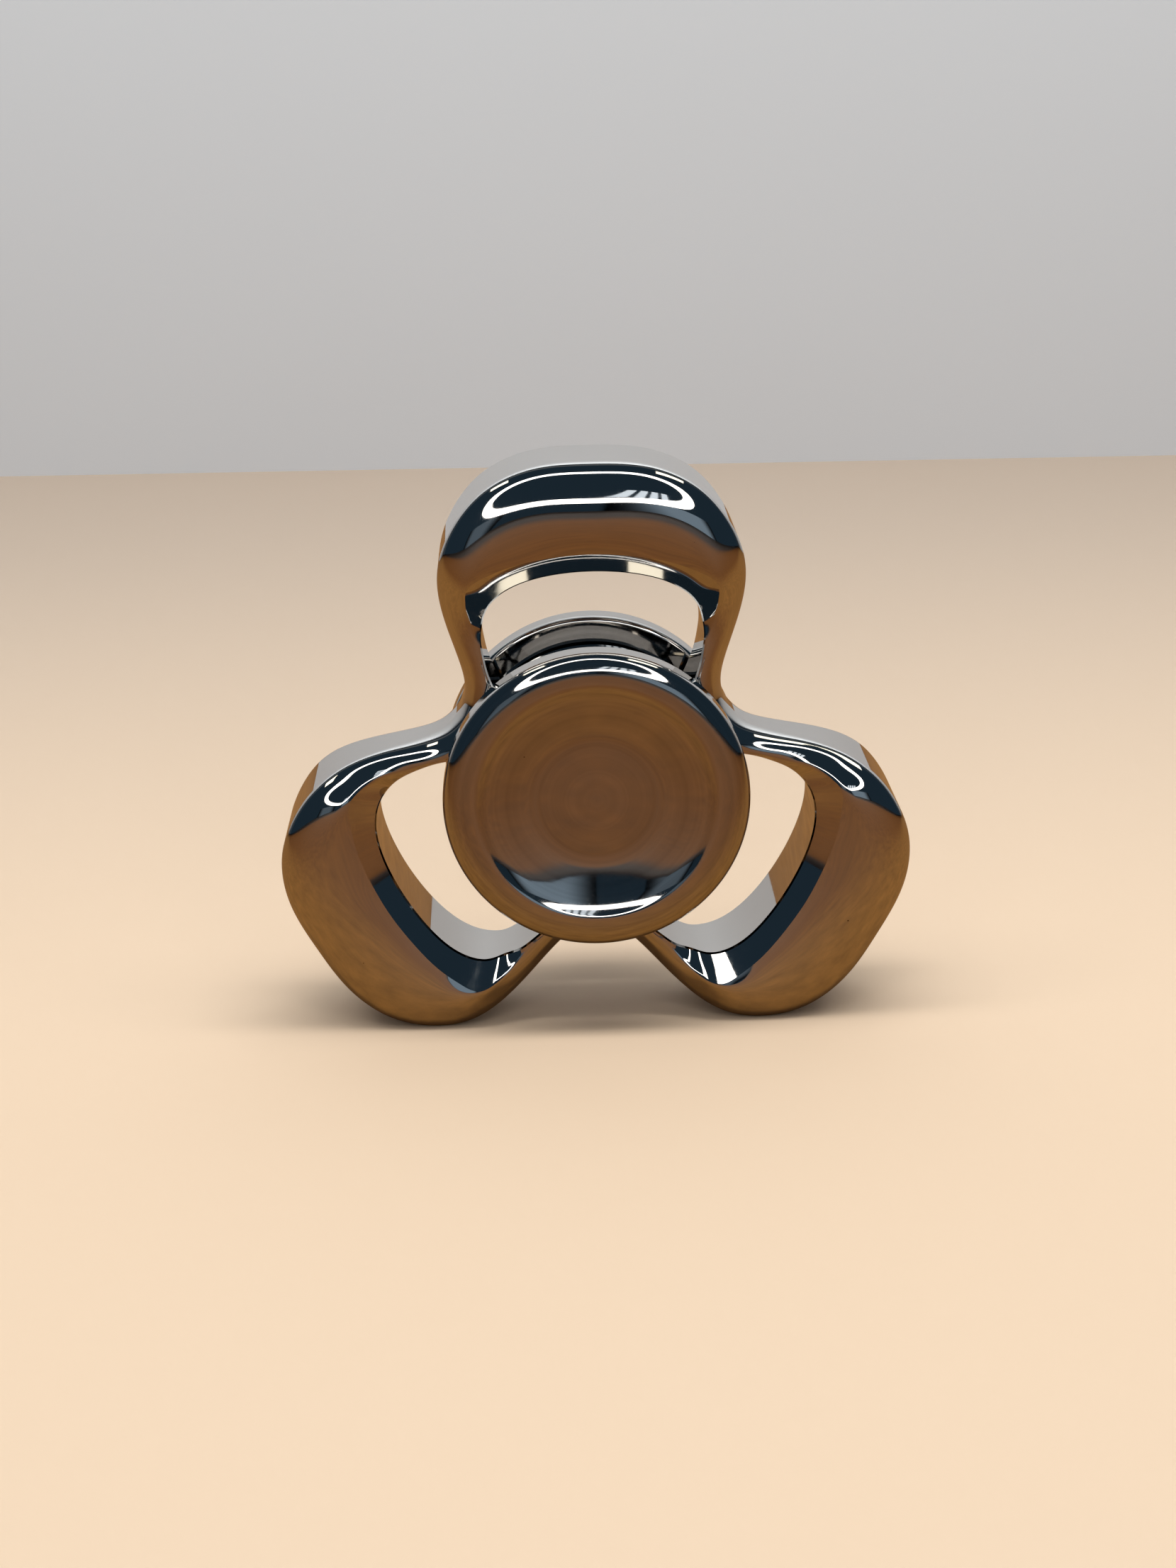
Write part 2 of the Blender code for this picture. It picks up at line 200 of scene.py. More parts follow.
RING_LIGHT_ELEVATION = 33
RING_LIGHT_REACH = 0.35
RING_LIGHT_RADIUS = 0.155
RING_LIGHT_WIDTH = 0.039
RING_LIGHT_COLOUR = (1.0, 0.99, 0.97)
RING_LIGHT_STRENGTH = 4.0
RING_LIGHT_SEGMENTS = 96

PANEL_REACH = 0.5
WINDOW_COLOUR = (0.6, 0.8, 1.0)
SLAT_COLOUR = (0.8, 0.9, 1.0)
TOP_PANEL_COLOUR = (1.0, 0.95, 0.80)
# Low panels at both sides of the camera: name, azimuths, strength.
LOW_PANELS = [
    ("right_low_panel", (2, 26), 0.34),
    ("left_low_panel", (-26, -8), 0.16),
]
LOW_PANEL_ELEVATIONS = (-3, 8)
LOW_PANEL_FADE = 0.3
# Level panels over the spinner's front: name, range in X, strength.
TOP_PANELS = [
    ("right_top_panel", (0.17, 0.33), 2.5),
    ("left_top_panel", (-0.35, -0.22), 2.5),
]
TOP_PANEL_DEPTHS = (-0.19, -0.06)
SLAT_AZIMUTHS = (2.0, 4.6, 7.2, 9.8)
SLAT_WIDTH = 1.7
SLAT_ELEVATIONS = (12, 21)
SLAT_LEAN = 2.5
SLAT_STRENGTH = 1.3

# ---------------------------------------------------------------- materials

STEEL = (0.60, 0.58, 0.555)
STEEL_TINT = (0.66, 0.64, 0.615)
BUTTON_TINT = (0.65, 0.63, 0.605)
BEARING_STEEL = (0.55, 0.55, 0.56)
BEARING_TINT = (0.62, 0.62, 0.63)
BRASS = (0.75, 0.58, 0.28)
BRASS_TINT = (0.65, 0.47, 0.22)
BLACK_STEEL = (0.07, 0.07, 0.08)
BLACK_TINT = (0.12, 0.12, 0.13)
RUBBER = (0.02, 0.02, 0.02)
RUBBER_ROUGHNESS = (0.5, 0.75)
RUBBER_GRAIN = 0.01
DIRT = (0.05, 0.045, 0.04)
# Radius of a speck, as a share of a cell.
SPECK_RADIUS = 0.05
# Noise keeps mostly inside the first range, and the product of two noises inside the second.
NOISE_RANGE = (0.3, 0.7)
SMUDGE_RANGE = (0.15, 0.42)


# ---------------------------------------------------------------- shader helpers

def set_input(tree, socket, value):
    """Link the socket if the value is a socket too, or else store the value in it."""
    if isinstance(value, bpy.types.NodeSocket):
        tree.links.new(value, socket)
    else:
        socket.default_value = value


def add_node(tree, kind, settings=(), **inputs):
    """Add a node with these (property, value) settings. In the names of inputs, _ stands for a space."""
    made = tree.nodes.new(kind)
    for name, value in settings:
        setattr(made, name, value)
    for name, value in inputs.items():
        set_input(tree, made.inputs[name.replace("_", " ")], value)
    return made


def coordinates(tree, kind):
    return tree.nodes.new("ShaderNodeTexCoord").outputs[kind]


def noise(tree, place, scale, detail, **inputs):
    made = add_node(tree, "ShaderNodeTexNoise", Vector=place, Scale=scale, Detail=detail, **inputs)
    return made.outputs["Fac"]


def ring_noise(tree, radius, scale, detail, roughness):
    """Noise that changes with the distance from the spin axis alone."""
    made = add_node(tree, "ShaderNodeTexNoise", [("noise_dimensions", "1D")],
                    W=radius, Scale=scale, Detail=detail, Roughness=roughness)
    return made.outputs["Fac"]


def map_range(tree, value, source, target=(0.0, 1.0), smooth=False):
    """The value moved from the source range to the target range, and held inside it."""
    kind = "SMOOTHSTEP" if smooth else "LINEAR"
    made = add_node(tree, "ShaderNodeMapRange", [("interpolation_type", kind)], Value=value,
                    From_Min=source[0], From_Max=source[1], To_Min=target[0], To_Max=target[1])
    return made.outputs["Result"]


def calculate(tree, operation, first, second):
    made = add_node(tree, "ShaderNodeMath", [("operation", operation)])
    set_input(tree, made.inputs[0], first)
    set_input(tree, made.inputs[1], second)
    return made.outputs[0]


def mixed(tree, factor, first, second):
    """The first colour where the factor is 0, and the second where it is 1."""
    made = add_node(tree, "ShaderNodeMix", [("data_type", "RGBA")], Factor=factor, A=first, B=second)
    return made.outputs["Result"]


def shaded(tree, colour, pattern, least, most):
    """The colour times a factor from least to most that follows a noise pattern."""
    factor = map_range(tree, pattern, NOISE_RANGE, (least, most))
    made = add_node(tree, "ShaderNodeVectorMath", [("operation", "SCALE")], Scale=factor)
    set_input(tree, made.inputs[0], colour)
    return made.outputs[0]


def tone_along(tree, value, span, stops):
    """Colour that passes through the (share, colour) stops as the value goes through the span."""
    ramp = add_node(tree, "ShaderNodeValToRGB", Fac=map_range(tree, value, span))
    ramp.color_ramp.interpolation = "EASE"
    while len(ramp.color_ramp.elements) < len(stops):
        ramp.color_ramp.elements.new(1.0)
    for element, (share, colour) in zip(ramp.color_ramp.elements, stops):
        element.position = share
        element.color = (*colour, 1.0)
    return ramp.outputs["Color"]


def bumped(tree, pattern, height, normal=None):
    """Normal of a surface with a pattern in relief, its height in millimetres, on top of another normal."""
    made = add_node(tree, "ShaderNodeBump", Height=pattern, Strength=1.0, Distance=height * MM)
    if normal:
        tree.links.new(normal, made.inputs["Normal"])
    return made.outputs["Normal"]


def plain_material(name, colour, roughness):
    made = bpy.data.materials.new(name)
    made.use_nodes = True
    shader = made.node_tree.nodes["Principled BSDF"]
    shader.inputs["Base Color"].default_value = (*colour, 1.0)
    shader.inputs["Roughness"].default_value = roughness
    return made


# ---------------------------------------------------------------- camera, lights and stage

def aim(obj, place, target):
    """Put obj at place with its -Z axis towards target."""
    obj.location = place
    obj.rotation_euler = (Vector(target) - Vector(place)).to_track_quat("-Z", "Y").to_euler()


def add_object(name, data):
    made = bpy.data.objects.new(name, data)
    bpy.context.scene.collection.objects.link(made)
    return made


def direction(azimuth, elevation):
    """Unit vector at these angles, azimuth being from the front towards +X."""
    return Vector((sin(azimuth) * cos(elevation), -cos(azimuth) * cos(elevation), sin(elevation)))


def make_camera():
    """Camera slightly above the spinner and a little to its left."""
    back = direction(CAMERA_AZIMUTH, CAMERA_ELEVATION)
    right = Vector((cos(CAMERA_AZIMUTH), sin(CAMERA_AZIMUTH), 0.0))
    up = back.cross(right)
    across = right * cos(CAMERA_ROLL) + up * sin(CAMERA_ROLL)
    upward = up * cos(CAMERA_ROLL) - right * sin(CAMERA_ROLL)
    data = bpy.data.cameras.new("camera")
    data.sensor_width = CAMERA_SENSOR
    data.lens = CAMERA_LENS
    data.clip_start = 0.01
    data.clip_end = 20.0
    camera = add_object("camera", data)
    place = (Vector(CAMERA_TARGET) + back * CAMERA_DISTANCE) * MM + Vector((0.0, 0.0, HUB_Z))
    turn = Matrix((across, upward, back)).transposed().to_4x4()
    camera.matrix_world = Matrix.Translation(place) @ turn
    bpy.context.scene.camera = camera


def area_light(name, place, target, size, watts):
    """A soft light that neither the camera nor the metal sees."""
    data = bpy.data.lights.new(name, "AREA")
    data.shape = "RECTANGLE"
    data.size, data.size_y = size
    data.energy = watts
    light = add_object(name, data)
    aim(light, place, target)
    light.visible_camera = False
    light.visible_glossy = False


def flat_mesh(name, corners):
    """A mesh with one four-cornered face."""
    mesh = bpy.data.meshes.new(name)
    mesh.from_pydata(corners, [], [(0, 1, 2, 3)])
    return mesh


def stage_surface(name, corners, material):
    mesh = flat_mesh(name, corners)
    mesh.materials.append(material)
    add_object(name, mesh)


def floor_material():
    """Pale tan with painted shade that deepens it at the back; the metal mirrors a brown, mottled floor, a
    painted reflection that painted shade darkens in front.
    """
    made = plain_material("floor_pale", FLOOR_NEAR, FLOOR_ROUGHNESS)
    tree = made.node_tree
    place = coordinates(tree, "Object")
    depth = add_node(tree, "ShaderNodeSeparateXYZ", Vector=place).outputs["Y"]
    # Painted shade: the floor that the camera sees is painted darker towards the back.
    plain = tone_along(tree, depth, FLOOR_SEEN_SPAN, ((0.0, FLOOR_NEAR), (1.0, FLOOR_FAR_PAINTED_SHADE)))
    # Painted reflection: the brown floor that only the metal sees, painted darker towards the front as
    # shade.
    painted_reflection = tone_along(tree, depth, FLOOR_PAINTED_REFLECTION_SPAN, (
        (0.0, FLOOR_PAINTED_SHADE_IN_FRONT), (0.4, FLOOR_PAINTED_REFLECTION), (0.8, FLOOR_PAINTED_REFLECTION), (1.0, FLOOR_PAINTED_REFLECTION_NEAR)))
    mottle = noise(tree, place, 260.0, 5.0, Roughness=0.65)
    mottled = shaded(tree, painted_reflection, mottle, 0.78, 1.22)
    # Camera rays see the pale floor with its painted shade; all other rays see the painted reflection.
    seen = tree.nodes.new("ShaderNodeLightPath").outputs["Is Camera Ray"]
    tree.links.new(mixed(tree, seen, mottled, plain), tree.nodes["Principled BSDF"].inputs["Base Color"])
    return made


def faded_sides(tree, fade, strength):
    """Strength that rises from 0 at both sides of a mesh, along X, over this share of its width."""
    split = add_node(tree, "ShaderNodeSeparateXYZ", Vector=coordinates(tree, "Generated"))
    from_side = calculate(tree, "PINGPONG", split.outputs["X"], 0.5)
    return map_range(tree, from_side, (0.0, fade), (0.0, strength), smooth=True)


def glowing(name, mesh, colour, strength, fade=0.0):
    """A light made of a mesh that the metal sees and the camera doesn't."""
    glow = bpy.data.materials.new(name)
    glow.use_nodes = True
    tree = glow.node_tree
    tree.nodes.clear()
    emission = add_node(tree, "ShaderNodeEmission", Color=(*colour, 1.0), Strength=strength)
    if fade:
        tree.links.new(faded_sides(tree, fade, strength), emission.inputs["Strength"])
    output = tree.nodes.new("ShaderNodeOutputMaterial")
    tree.links.new(emission.outputs[0], output.inputs["Surface"])
    mesh.materials.append(glow)
    made = add_object(name, mesh)
    made.visible_camera = False
    made.visible_shadow = False
    return made


def seen_at(azimuth, elevation, reach):
    """The place at these angles in degrees from the hub, and this far from it."""
    return direction(radians(azimuth), radians(elevation)) * reach + Vector((0, 0, HUB_Z))


def make_ring_light():
    """Glowing ring in front of the spinner, facing it."""
    bm = bmesh.new()
    circles = []
    for radius in (RING_LIGHT_RADIUS - RING_LIGHT_WIDTH / 2, RING_LIGHT_RADIUS + RING_LIGHT_WIDTH / 2):
        angles = [tau * index / RING_LIGHT_SEGMENTS for index in range(RING_LIGHT_SEGMENTS)]
        circles.append([bm.verts.new((radius * cos(angle), radius * sin(angle), 0.0)) for angle in angles])
    inner, outer = circles
    for index in range(RING_LIGHT_SEGMENTS):
        bm.faces.new((inner[index - 1], outer[index - 1], outer[index], inner[index]))
    mesh = bpy.data.meshes.new("ring_light")
    bm.to_mesh(mesh)
    bm.free()
    ring = glowing("ring_light", mesh, RING_LIGHT_COLOUR, RING_LIGHT_STRENGTH)
    aim(ring, seen_at(0, RING_LIGHT_ELEVATION, RING_LIGHT_REACH), (0.0, 0.0, HUB_Z))


def make_panel(name, azimuths, elevations, colour, strength, lean=0, fade=0.0):
    """Glowing panel between these angles in degrees, its top edge shifted sideways by lean degrees."""
    (left, right), (low, high) = azimuths, elevations
    corners = ((left, low), (right, low), (right + lean, high), (left + lean, high))
    places = [seen_at(azimuth, elevation, PANEL_REACH) for azimuth, elevation in corners]
    glowing(name, flat_mesh(name, places), colour, strength, fade)


def make_top_panel(name, across, strength):
    """Warm glowing panel level with the floor, above the front of the spinner."""
    (left, right), (front, back) = across, TOP_PANEL_DEPTHS
    height = HUB_Z + PANEL_REACH
    places = [(left, front, height), (right, front, height), (right, back, height), (left, back, height)]
    glowing(name, flat_mesh(name, places), TOP_PANEL_COLOUR, strength)


def make_world():
    """Pale to the camera; to the metal, a pale room behind the spinner and a dim one in front of it."""
    world = bpy.data.worlds.new("studio")
    bpy.context.scene.world = world
    world.use_nodes = True
    tree = world.node_tree
    tree.nodes.clear()
    split = add_node(tree, "ShaderNodeSeparateXYZ", Vector=coordinates(tree, "Generated"))
    depth = map_range(tree, split.outputs["Y"], ROOM_SPAN, smooth=True)
    room = mixed(tree, depth, (*ROOM_FRONT, 1.0), (*ROOM_BACK, 1.0))
    mirrored = add_node(tree, "ShaderNodeBackground", Color=room)
    seen = add_node(tree, "ShaderNodeBackground", Color=(*ROOM_SEEN, 1.0))
    path = tree.nodes.new("ShaderNodeLightPath")
    mix = tree.nodes.new("ShaderNodeMixShader")
    tree.links.new(path.outputs["Is Camera Ray"], mix.inputs[0])
    tree.links.new(mirrored.outputs[0], mix.inputs[1])
    tree.links.new(seen.outputs[0], mix.inputs[2])
    output = tree.nodes.new("ShaderNodeOutputWorld")
    tree.links.new(mix.outputs[0], output.inputs["Surface"])


def make_stage():
    """Floor, a wall a little askew behind the spinner, and the lights."""
    reach = STAGE_REACH
    left = WALL_PLACE + WALL_SLANT * reach
    right = WALL_PLACE - WALL_SLANT * reach
    floor = [(-reach, FLOOR_FRONT, 0), (reach, FLOOR_FRONT, 0), (reach, right, 0), (-reach, left, 0)]
    wall = [(-reach, left, 0), (reach, right, 0), (reach, right, WALL_HEIGHT), (-reach, left, WALL_HEIGHT)]
    stage_surface("floor", floor, floor_material())
    stage_surface("backdrop", wall, plain_material("wall_pale", WALL_COLOUR, WALL_ROUGHNESS))
    for light in AREA_LIGHTS:
        area_light(*light)
    make_ring_light()
    for name, azimuths, strength in LOW_PANELS:
        make_panel(name, azimuths, LOW_PANEL_ELEVATIONS, WINDOW_COLOUR, strength, fade=LOW_PANEL_FADE)
    for panel in TOP_PANELS:
        make_top_panel(*panel)
    for azimuth in SLAT_AZIMUTHS:
        make_panel("slat", (azimuth, azimuth + SLAT_WIDTH), SLAT_ELEVATIONS, SLAT_COLOUR, SLAT_STRENGTH,
                   lean=SLAT_LEAN)


# ---------------------------------------------------------------- materials of the spinner

def spin_radius(tree, place):
    """Distance from the spin axis."""
    split = add_node(tree, "ShaderNodeSeparateXYZ", Vector=place)
    flat = add_node(tree, "ShaderNodeCombineXYZ", X=split.outputs["X"], Y=split.outputs["Z"])
    length = add_node(tree, "ShaderNodeVectorMath", [("operation", "LENGTH")])
    tree.links.new(flat.outputs[0], length.inputs[0])
    return length.outputs["Value"]


def speckled(tree, surface, place, share):
    """The surface's colour with specks of dirt in this share of the cells."""
    cells = add_node(tree, "ShaderNodeTexVoronoi", Vector=place, Scale=900.0)
    parts = add_node(tree, "ShaderNodeSeparateColor", Color=cells.outputs["Color"])
    chosen = calculate(tree, "LESS_THAN", parts.outputs[0], share)
    near = calculate(tree, "LESS_THAN", cells.outputs["Distance"], SPECK_RADIUS)
    return mixed(tree, calculate(tree, "MULTIPLY", chosen, near), surface, (*DIRT, 1.0))


def metal_material(name, colour, tint, smooth, dull, wave=0.0, rings=0.0, specks=0.0):
    """Bare metal. Colour drifts towards tint, roughness goes from smooth to dull.

    wave is the height in millimetres of the slow unevenness that hand polishing leaves, and rings is that
    of the fine circles that a lathe leaves about the spin axis. specks is the share of the pattern's cells
    that hold a speck of dirt.
    """
    made = bpy.data.materials.new(name)
    made.use_nodes = True
    tree = made.node_tree
    shader = tree.nodes["Principled BSDF"]
    shader.inputs["Metallic"].default_value = 1.0
    place = coordinates(tree, "Object")
    drift = noise(tree, place, 180.0, 3.0)
    fine = noise(tree, place, 2600.0, 4.0, Roughness=0.7)
    surface = mixed(tree, drift, (*colour, 1.0), (*tint, 1.0))
    normal = None
    if rings:
        radius = spin_radius(tree, place)
        surface = shaded(tree, surface, ring_noise(tree, radius, 800.0, 3.0, 0.6), 0.80, 1.0)
        normal = bumped(tree, ring_noise(tree, radius, 2200.0, 4.0, 0.75), rings)
    if specks:
        surface = speckled(tree, surface, place, specks)
    if wave:
        normal = bumped(tree, noise(tree, place, 260.0, 1.0), wave, normal)
    tree.links.new(surface, shader.inputs["Base Color"])
    smudge = calculate(tree, "MULTIPLY", drift, fine)
    tree.links.new(map_range(tree, smudge, SMUDGE_RANGE, (smooth, dull)), shader.inputs["Roughness"])
    if normal:
        tree.links.new(normal, shader.inputs["Normal"])
    return made


def rubber_material(name):
    """Black rubber with a fine grain."""
    made = plain_material(name, RUBBER, RUBBER_ROUGHNESS[1])
    tree = made.node_tree
    shader = tree.nodes["Principled BSDF"]
    grain = noise(tree, coordinates(tree, "Object"), 4000.0, 3.0)
    tree.links.new(bumped(tree, grain, RUBBER_GRAIN), shader.inputs["Normal"])
    tree.links.new(map_range(tree, grain, (0.0, 1.0), RUBBER_ROUGHNESS), shader.inputs["Roughness"])
    return made


# ---------------------------------------------------------------- mesh helpers

def place_piece(bm, name, material, body, node, offset=(0.0, 0.0, 0.0)):
    """Make a piece from a bmesh drawn in millimetres about the hub's centre, in place of the CAD node."""
    bmesh.ops.recalc_face_normals(bm, faces=bm.faces)
    for face in bm.faces:
        face.smooth = True
    for edge in bm.edges:
        if edge.is_manifold and edge.calc_face_angle(0.0) > SHARP_ANGLE:
            edge.smooth = False
    mesh = bpy.data.meshes.new(name)
    bm.to_mesh(mesh)
    bm.free()
    mesh.transform(Matrix.Scale(MM, 4))
    mesh.materials.append(material)
    made = add_object(name, mesh)
    made.location = Vector(offset) * MM + Vector((0.0, 0.0, HUB_Z))
    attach(made, body)
    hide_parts(node)


def turned(profile, segments):
    """Spin a closed (radius, y) profile about the Y axis. Points at radius 0 close on the axis."""
    bm = bmesh.new()
    points = [bm.verts.new((radius, y, 0.0)) for radius, y in profile]
    edges = [bm.edges.new(pair) for pair in zip(points, points[1:])]
    if profile[0][0] > 0:
        edges.append(bm.edges.new((points[-1], points[0])))
    bmesh.ops.spin(bm, geom=points + edges, axis=(0, 1, 0), cent=(0, 0, 0), angle=tau, steps=segments)
    bmesh.ops.remove_doubles(bm, verts=bm.verts, dist=MERGE)
    return bm


def arc(centre, radius, start, end, steps):
    """Points on an arc in the (radius, y) plane, both ends included."""
    angles = [start + (end - start) * step / steps for step in range(steps + 1)]
    return [(centre[0] + radius * cos(angle), centre[1] + radius * sin(angle)) for angle in angles]


# ---------------------------------------------------------------- body

def mirrored_point(point, angle):
    """Reflect (u, v) in the line through the hub at this angle from the lobe's centre line."""
    u, v = point
    return (-u * cos(2 * angle) + v * sin(2 * angle), u * sin(2 * angle) + v * cos(2 * angle))


def spline(points, before, after, steps):
    """A curve with continuous curvature through the points, whose neighbours are before and after."""
    known = np.array(list(before) + list(points) + list(after), float)
    count = len(known)
    matrix = np.eye(count)
    right = np.zeros_like(known)
    for row in range(1, count - 1):
        matrix[row, row - 1:row + 2] = (1, 4, 1)
        right[row] = 6 * (known[row - 1] - 2 * known[row] + known[row + 1])
    bend = np.linalg.solve(matrix, right)
    curve = []
    first = len(before)
    for row in range(first, first + len(points) - 1):
        for step in range(steps):
            b = step / steps
            a = 1 - b
            value = a * known[row] + b * known[row + 1]
            value = value + ((a ** 3 - a) * bend[row] + (b ** 3 - b) * bend[row + 1]) / 6
            curve.append(tuple(value))
    curve.append(tuple(points[-1]))
    return curve


def lobe_columns():
    """Cross-sections of half a lobe, tip to neck: outline point, inner point and the six profile sizes."""
    steps = STEPS_PER_STATION
    extra = MIRRORED_STATIONS
    outline = [station[0] for station in STATIONS + NECK_STATIONS]
    before = [mirrored_point(point, 0) for point in outline[extra:0:-1]]
    after = [mirrored_point(point, NECK_ANGLE) for point in outline[-2:-2 - extra:-1]]
    outline = spline(outline, before, after, steps)
    window = [station[1] for station in STATIONS]
    before = [mirrored_point(point, 0) for point in window[extra:0:-1]]
    window = spline(window, before, [], steps)
    corner = atan2(*STATIONS[-1][1])
    angles = [corner] + [station[1] for station in NECK_STATIONS]
    for start, end in zip(angles, angles[1:]):
        for step in range(1, steps + 1):
            angle = start + (end - start) * step / steps
            window.append((HUB_RADIUS * sin(angle), HUB_RADIUS * cos(angle)))
    sizes = [station[2:] for station in STATIONS + NECK_STATIONS]
    sizes = spline(sizes, sizes[extra:0:-1], sizes[-2:-2 - extra:-1], steps)
    return list(zip(outline, window, sizes))


def section(column, has_window):
    """One cross-section's front half, from the middle of the rim wall inward, as (u, y, v) points."""
    outline, inner, (rim, fillet, crest, funnel, lip, edge) = column
    length = hypot(inner[0] - outline[0], inner[1] - outline[1])
    rows = [(0.0, 0.0), (0.0, rim - SUPPORT)]
    for step in range(FILLET_STEPS + 1):
        angle = pi / 2 * step / FILLET_STEPS
        rows.append((fillet * (1 - cos(angle)), rim + (crest - rim) * sin(angle)))
    for step in range(1, ROLL_STEPS + 1):
        part = step / ROLL_STEPS
        rows.append((fillet + (length - funnel - fillet) * part, crest - (crest - lip) * part * part))
    break_width = min(EDGE_BREAK_WIDTH, funnel / 2)
    break_half = min(edge + EDGE_BREAK, lip)
    for step in range(1, FUNNEL_STEPS + 1):
        part = step / FUNNEL_STEPS
        rows.append((length - funnel + (funnel - break_width) * part, lip - (lip - break_half) * part))
    rows.append((length, edge))
    if has_window:
        rows += [(length, edge - SUPPORT), (length, 0.0)]
    points = []
    for distance, half in rows:
        part = distance / length
        u = outline[0] + (inner[0] - outline[0]) * part
        v = outline[1] + (inner[1] - outline[1]) * part
        points.append((u, -half, v))
    return points


def grid(bm, columns, creases=()):
    """Join equally long columns of points with quads. The rows in creases are sharp."""
    made = [[bm.verts.new(point) for point in column] for column in columns]
    for left, right in zip(made, made[1:]):
        for row in range(len(left) - 1):
            bm.faces.new((left[row], left[row + 1], right[row + 1], right[row]))
    for left, right in zip(made, made[1:]):
        for row in creases:
            bm.edges.get((left[row], right[row])).smooth = False


def hub_column(point):
    """A radial line of the hub's front face, from a point on the hub circle in to the bearing's seat."""
    radius = hypot(point[0], point[2])
    seat = BEARING_OUTER_RADIUS + PRESS_GAP
    inner = [
        (HUB_RADIUS - EDGE_BREAK, HUB_HALF),
        (seat + EDGE_BREAK, HUB_HALF),
        (seat, HUB_HALF - EDGE_BREAK),
        (seat, 0.0),
    ]
    return [point] + [(point[0] * r / radius, -y, point[2] * r / radius) for r, y in inner]


def make_body(material):
    """Half a lobe's front and its share of the hub, mirrored sideways and to the back, then turned round."""
    bm = bmesh.new()
    columns = lobe_columns()
    corner_index = (len(STATIONS) - 1) * STEPS_PER_STATION
    lip_row = 2 + FILLET_STEPS + ROLL_STEPS
    creases = (lip_row, lip_row + FUNNEL_STEPS, lip_row + FUNNEL_STEPS + 1)
    lobe = [section(column, True) for column in columns[:corner_index + 1]]
    neck = [section(column, False) for column in columns[corner_index:]]
    grid(bm, lobe, creases)
    grid(bm, neck, creases)
    corner = atan2(*STATIONS[-1][1])
    edge = HUB_HALF - EDGE_BREAK
    spokes = []
    for step in range(HUB_ARC_STEPS + 1):
        angle = corner * step / HUB_ARC_STEPS
        u, v = HUB_RADIUS * sin(angle), HUB_RADIUS * cos(angle)
        spokes.append([(u, 0.0, v), (u, SUPPORT - edge, v)] + hub_column((u, -edge, v)))
    grid(bm, spokes)
    grid(bm, [hub_column(rows[-1]) for rows in neck])
    bmesh.ops.mirror(bm, geom=bm.verts[:] + bm.edges[:] + bm.faces[:], axis="X", merge_dist=-1)
    bmesh.ops.mirror(bm, geom=bm.verts[:] + bm.edges[:] + bm.faces[:], axis="Y", merge_dist=-1)
    bmesh.ops.remove_doubles(bm, verts=bm.verts, dist=MERGE)
    whole = bm.verts[:] + bm.edges[:] + bm.faces[:]
    for turn in range(1, LOBES):
        copy = bmesh.ops.duplicate(bm, geom=whole)["geom"]
        verts = [item for item in copy if isinstance(item, bmesh.types.BMVert)]
        matrix = Matrix.Rotation(tau * turn / LOBES, 3, "Y")
        bmesh.ops.rotate(bm, verts=verts, cent=(0, 0, 0), matrix=matrix)
    bmesh.ops.remove_doubles(bm, verts=bm.verts, dist=MERGE)
    place_piece(bm, "spinner_body", material, "spinner", "body")


# ---------------------------------------------------------------- bearing

def race(land_radius):
    """The ball groove across a ring's land: back to front on the inner ring, front to back on the outer."""
    reach = abs(PITCH_RADIUS - land_radius)
    half = sqrt(RACE_RADIUS ** 2 - reach ** 2)
    spread = atan2(half, reach)
    middle = pi if land_radius < PITCH_RADIUS else 0.0
    return arc((PITCH_RADIUS, 0.0), RACE_RADIUS, middle - spread, middle + spread, RACE_STEPS)


def make_bearing(steel, brass):
    """Both rings and the balls; the cage keeps its CAD shape and only gets its material."""
    half = BEARING_HALF_WIDTH
    inner = [
        (BEARING_BORE_RADIUS, half - RING_CHAMFER),
        (BEARING_BORE_RADIUS + RING_CHAMFER, half),
        (INNER_LAND_RADIUS, half),
        *race(INNER_LAND_RADIUS),
        (INNER_LAND_RADIUS, -half),
        (BEARING_BORE_RADIUS + RING_CHAMFER, -half),
        (BEARING_BORE_RADIUS, -half + RING_CHAMFER),
    ]
    place_piece(turned(inner, RING_SEGMENTS), "inner_ring", steel, "buttons", "bearing_inner_ring")
    outer = [
        (BEARING_OUTER_RADIUS, half - RING_CHAMFER),
        (BEARING_OUTER_RADIUS, -half + RING_CHAMFER),
        (BEARING_OUTER_RADIUS - RING_CHAMFER, -half),
        (OUTER_LAND_RADIUS, -half),
        *race(OUTER_LAND_RADIUS),
        (OUTER_LAND_RADIUS, half),
        (BEARING_OUTER_RADIUS - RING_CHAMFER, half),
    ]
    place_piece(turned(outer, RING_SEGMENTS), "outer_ring", steel, "spinner", "bearing_outer_ring")
    for index in range(BALL_COUNT):
        bm = bmesh.new()
        bmesh.ops.create_icosphere(bm, subdivisions=BALL_SUBDIVISIONS, radius=BALL_RADIUS)
        angle = tau * index / BALL_COUNT
        centre = (PITCH_RADIUS * sin(angle), 0.0, PITCH_RADIUS * cos(angle))
        number = f"{index + 1:02d}"
        place_piece(bm, f"ball_{number}", steel, f"ball_{number}", f"bearing_ball_{number}",
                    offset=centre)
    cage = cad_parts["bearing_cage"].data
    cage.materials.clear()
    cage.materials.append(brass)


# ---------------------------------------------------------------- buttons and what joins them

def dish():
    """Radius and height above the flat centre, from where the dish starts to rise out to its lip."""
    points = [(DISH_SLOPES[0][0], 0.0)]
    for (start, low), (end, high) in zip(DISH_SLOPES, DISH_SLOPES[1:]):
        run = (end - start) / DISH_STEPS
        for step in range(DISH_STEPS):
            slope = low + (high - low) * (step + 0.5) / DISH_STEPS
            radius, height = points[-1]
            points.append((radius + run, height + run * tan(radians(slope))))
    return points


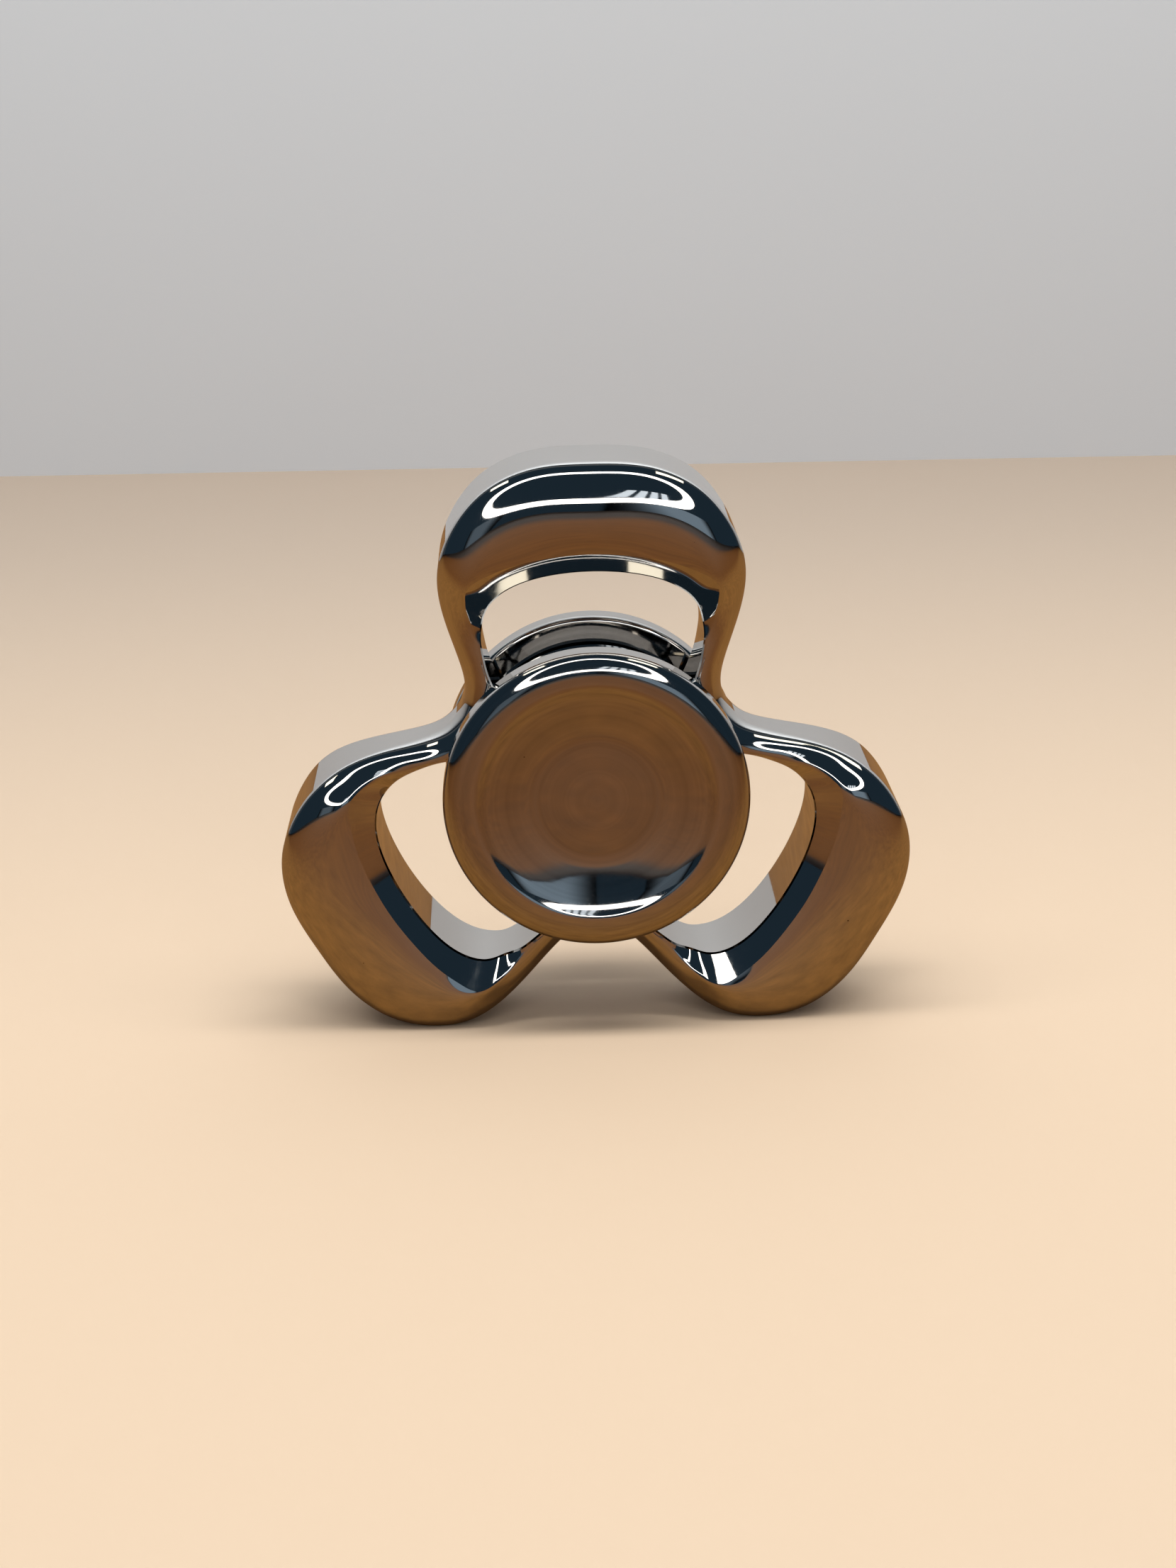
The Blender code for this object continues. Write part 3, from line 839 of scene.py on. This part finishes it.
def button_face():
    """The dished face, from the axis out to the start of the flat ring round the dish."""
    wall = dish()
    floor = BUTTON_FACE - wall[-1][1]
    return [(0.0, floor), (FLAT_RADIUS, floor)] + [(radius, floor + height) for radius, height in wall]


def make_button(name, side, steel, node):
    """A button with its pilot in the bearing's bore; side is -1 at the front and 1 at the back."""
    profile = button_face()
    for step in range(RIM_STEPS + 1):
        angle = pi / 2 * step / RIM_STEPS
        profile.append((FACE_OUTER_RADIUS + (BUTTON_RADIUS - FACE_OUTER_RADIUS) * sin(angle),
                        RIM_FRONT + (BUTTON_FACE - RIM_FRONT) * cos(angle)))
    profile.append((BUTTON_RADIUS, RIM_FRONT - SUPPORT))
    profile.append((BUTTON_RADIUS, BUTTON_BACK + BUTTON_BACK_FILLET + SUPPORT))
    profile += arc((BUTTON_RADIUS - BUTTON_BACK_FILLET, BUTTON_BACK + BUTTON_BACK_FILLET),
                   BUTTON_BACK_FILLET, 0, -pi / 2, BACK_FILLET_STEPS)
    profile += [
        (SHOULDER_RADIUS, BUTTON_BACK),
        (SHOULDER_RADIUS, SHOULDER_INNER),
        (PILOT_RADIUS, SHOULDER_INNER),
        (PILOT_RADIUS, PILOT_END),
        (STUD_HOLE_RADIUS, PILOT_END),
        (STUD_HOLE_RADIUS, STUD_HOLE_END),
        (0.0, STUD_HOLE_END),
    ]
    profile = [(radius, side * y) for radius, y in profile]
    place_piece(turned(profile, BUTTON_SEGMENTS), name, steel, "buttons", node)


def make_joining_pieces(steel, stud, rubber):
    """The shims, the set screw with its socket, and the O-ring round it."""
    for name, side, node in (("shim_front", -1, "front_shim"), ("shim_rear", 1, "rear_shim")):
        profile = [
            (SHIM_INNER_RADIUS, side * SHIM_INNER),
            (SHOULDER_RADIUS, side * SHIM_INNER),
            (SHOULDER_RADIUS, side * SHIM_OUTER),
            (SHIM_INNER_RADIUS, side * SHIM_OUTER),
        ]
        place_piece(turned(profile, RING_SEGMENTS), name, steel, "buttons", node)
    half = STUD_HALF_LENGTH
    profile = [
        (0.0, half),
        (STUD_RADIUS - STUD_CHAMFER, half),
        (STUD_RADIUS, half - STUD_CHAMFER),
        (STUD_RADIUS, -half + STUD_CHAMFER),
        (STUD_RADIUS - STUD_CHAMFER, -half),
        (STUD_SOCKET_RADIUS, -half),
        (STUD_SOCKET_RADIUS, -half + STUD_SOCKET_DEPTH),
        (0.0, -half + STUD_SOCKET_DEPTH),
    ]
    place_piece(turned(profile, RING_SEGMENTS), "set_screw", stud, "buttons", "button_stud")
    last = tau * (1 - 1 / ORING_STEPS)
    ring = arc((ORING_CENTRE_RADIUS, 0.0), ORING_SECTION_RADIUS, 0, last, ORING_STEPS - 1)
    place_piece(turned(ring, RING_SEGMENTS), "o_ring", rubber, "buttons", "stud_oring")


def main():
    bpy.context.scene.view_settings.view_transform = "Standard"
    make_camera()
    make_world()
    make_stage()
    polished = metal_material("polished_steel", STEEL, STEEL_TINT, 0.02, 0.055, wave=0.0015, specks=0.01)
    button_steel = metal_material("button_steel", STEEL, BUTTON_TINT, 0.03, 0.08,
                                  wave=0.001, rings=0.0003, specks=0.006)
    bearing_steel = metal_material("bearing_steel", BEARING_STEEL, BEARING_TINT, 0.08, 0.16)
    brass = metal_material("cage_brass", BRASS, BRASS_TINT, 0.2, 0.4)
    black = metal_material("stud_steel", BLACK_STEEL, BLACK_TINT, 0.3, 0.5)
    make_body(polished)
    make_button("button_front", -1, button_steel, "front_button")
    make_button("button_rear", 1, button_steel, "rear_button")
    make_bearing(bearing_steel, brass)
    make_joining_pieces(bearing_steel, black, rubber_material("oring_rubber"))


main()
